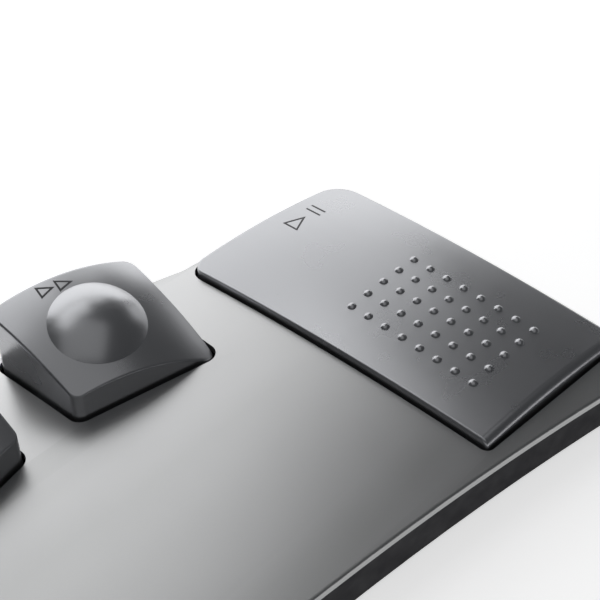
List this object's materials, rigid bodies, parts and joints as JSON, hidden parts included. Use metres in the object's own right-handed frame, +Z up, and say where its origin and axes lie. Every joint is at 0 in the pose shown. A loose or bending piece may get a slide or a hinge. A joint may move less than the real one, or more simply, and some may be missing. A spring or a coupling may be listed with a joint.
{
  "type": "foot pedal switch",
  "caption": "Low foot control box with a wide crowned pedal beside a pair of domed wedge pedals; each pedal tilts on a pin and works a sprung switch.",
  "frame": {"origin": "middle of the footprint, on the surface the feet stand on", "axes": "+X to the user's right, +Y away from the user, +Z up"},
  "size_m": [0.2134, 0.1498, 0.0381],
  "materials": {
    "cover": "satin silver grey, fine grain",
    "base": "matt black, fine grain",
    "pedal": "satin dark grey",
    "rubber": "matt",
    "steel": "bright",
    "spring_steel": "drawn wire",
    "zinc_screws": "zinc plated",
    "switch_case": "moulded",
    "switch_button": "moulded",
    "brass": "tinned",
    "board": "solder mask",
    "chip": "moulded",
    "can": "bright",
    "header": "moulded",
    "small_parts": "ceramic",
    "ballast": "plated steel"
  },
  "bodies": {
    "housing": {"ballast_plate": "ballast", "ballast_screws": "zinc_screws", "base_shell": "base", "board_screws": "zinc_screws", "cable_gland": "rubber", "cable_header": "header", "circuit_board": "board", "controller_chip": "chip", "cover_screws": "zinc_screws", "crystal": "can", "forward_hinge_pin": "steel", "forward_spring": "spring_steel", "forward_switch": "switch_case", "pin_clips": "spring_steel", "play_hinge_pin": "steel", "play_springs": "spring_steel", "play_switch": "switch_case", "rewind_hinge_pin": "steel", "rewind_spring": "spring_steel", "rewind_switch": "switch_case", "rubber_feet": "rubber", "small_parts": "small_parts", "stop_pads": "rubber", "switch_screws": "zinc_screws", "switch_terminals": "brass", "top_cover": "cover"},
    "play": {"play_pedal": "pedal"},
    "play_lever": {"play_lever": "steel"},
    "play_plunger": {"play_plunger": "switch_button"},
    "forward": {"forward_pedal": "pedal"},
    "forward_lever": {"forward_lever": "steel"},
    "forward_plunger": {"forward_plunger": "switch_button"},
    "rewind": {"rewind_pedal": "pedal"},
    "rewind_lever": {"rewind_lever": "steel"},
    "rewind_plunger": {"rewind_plunger": "switch_button"}
  },
  "joints": [
    {"name": "play_press", "type": "hinge", "parent": "housing", "child": "play", "pos_m": [0.0714, 0.04586, 0.0096], "axis": [1, 0, 0], "range_deg": [0, 2.1], "stiffness_Nm_per_rad": 8, "springref_deg": -4.58, "deforming": ["play_springs"]},
    {"name": "play_lever_turn", "type": "hinge", "parent": "housing", "child": "play_lever", "pos_m": [0.0714, 0.00266, 0.0137], "axis": [1, 0, 0], "range_deg": [0, 8.75]},
    {"name": "play_plunger_slide", "type": "slide", "parent": "housing", "child": "play_plunger", "axis": [0, 0, -1], "range_m": [0, 0.0005]},
    {"name": "forward_press", "type": "hinge", "parent": "housing", "child": "forward", "pos_m": [-0.00522, 0.03184, 0.0076], "axis": [-0.9785, 0.2062, 0], "range_deg": [0, 4.5], "stiffness_Nm_per_rad": 2, "springref_deg": -5.73, "deforming": ["forward_spring"]},
    {"name": "forward_lever_turn", "type": "hinge", "parent": "housing", "child": "forward_lever", "pos_m": [0.00436, 0.04331, 0.0137], "axis": [-0.9785, 0.2062, 0], "range_deg": [0, 8.85]},
    {"name": "forward_plunger_slide", "type": "slide", "parent": "housing", "child": "forward_plunger", "axis": [0, 0, -1], "range_m": [0, 0.0005]},
    {"name": "rewind_press", "type": "hinge", "parent": "housing", "child": "rewind", "pos_m": [-0.07298, 0.03184, 0.0076], "axis": [-0.9785, -0.2062, 0], "range_deg": [0, 4.5], "stiffness_Nm_per_rad": 2, "springref_deg": -5.73, "deforming": ["rewind_spring"]},
    {"name": "rewind_lever_turn", "type": "hinge", "parent": "housing", "child": "rewind_lever", "pos_m": [-0.08256, 0.04331, 0.0137], "axis": [-0.9785, -0.2062, 0], "range_deg": [0, 8.85]},
    {"name": "rewind_plunger_slide", "type": "slide", "parent": "housing", "child": "rewind_plunger", "axis": [0, 0, -1], "range_m": [0, 0.0005]}
  ],
  "couplings": [
    {"joint": "play_lever_turn", "follows": "play_press", "ratio": 4.1295},
    {"joint": "play_plunger_slide", "follows": "play_press", "m_per_rad": 0.012452},
    {"joint": "forward_lever_turn", "follows": "forward_press", "ratio": 1.9545},
    {"joint": "forward_plunger_slide", "follows": "forward_press", "m_per_rad": 0.0058932},
    {"joint": "rewind_lever_turn", "follows": "rewind_press", "ratio": 1.9545},
    {"joint": "rewind_plunger_slide", "follows": "rewind_press", "m_per_rad": 0.0058932}
  ]
}
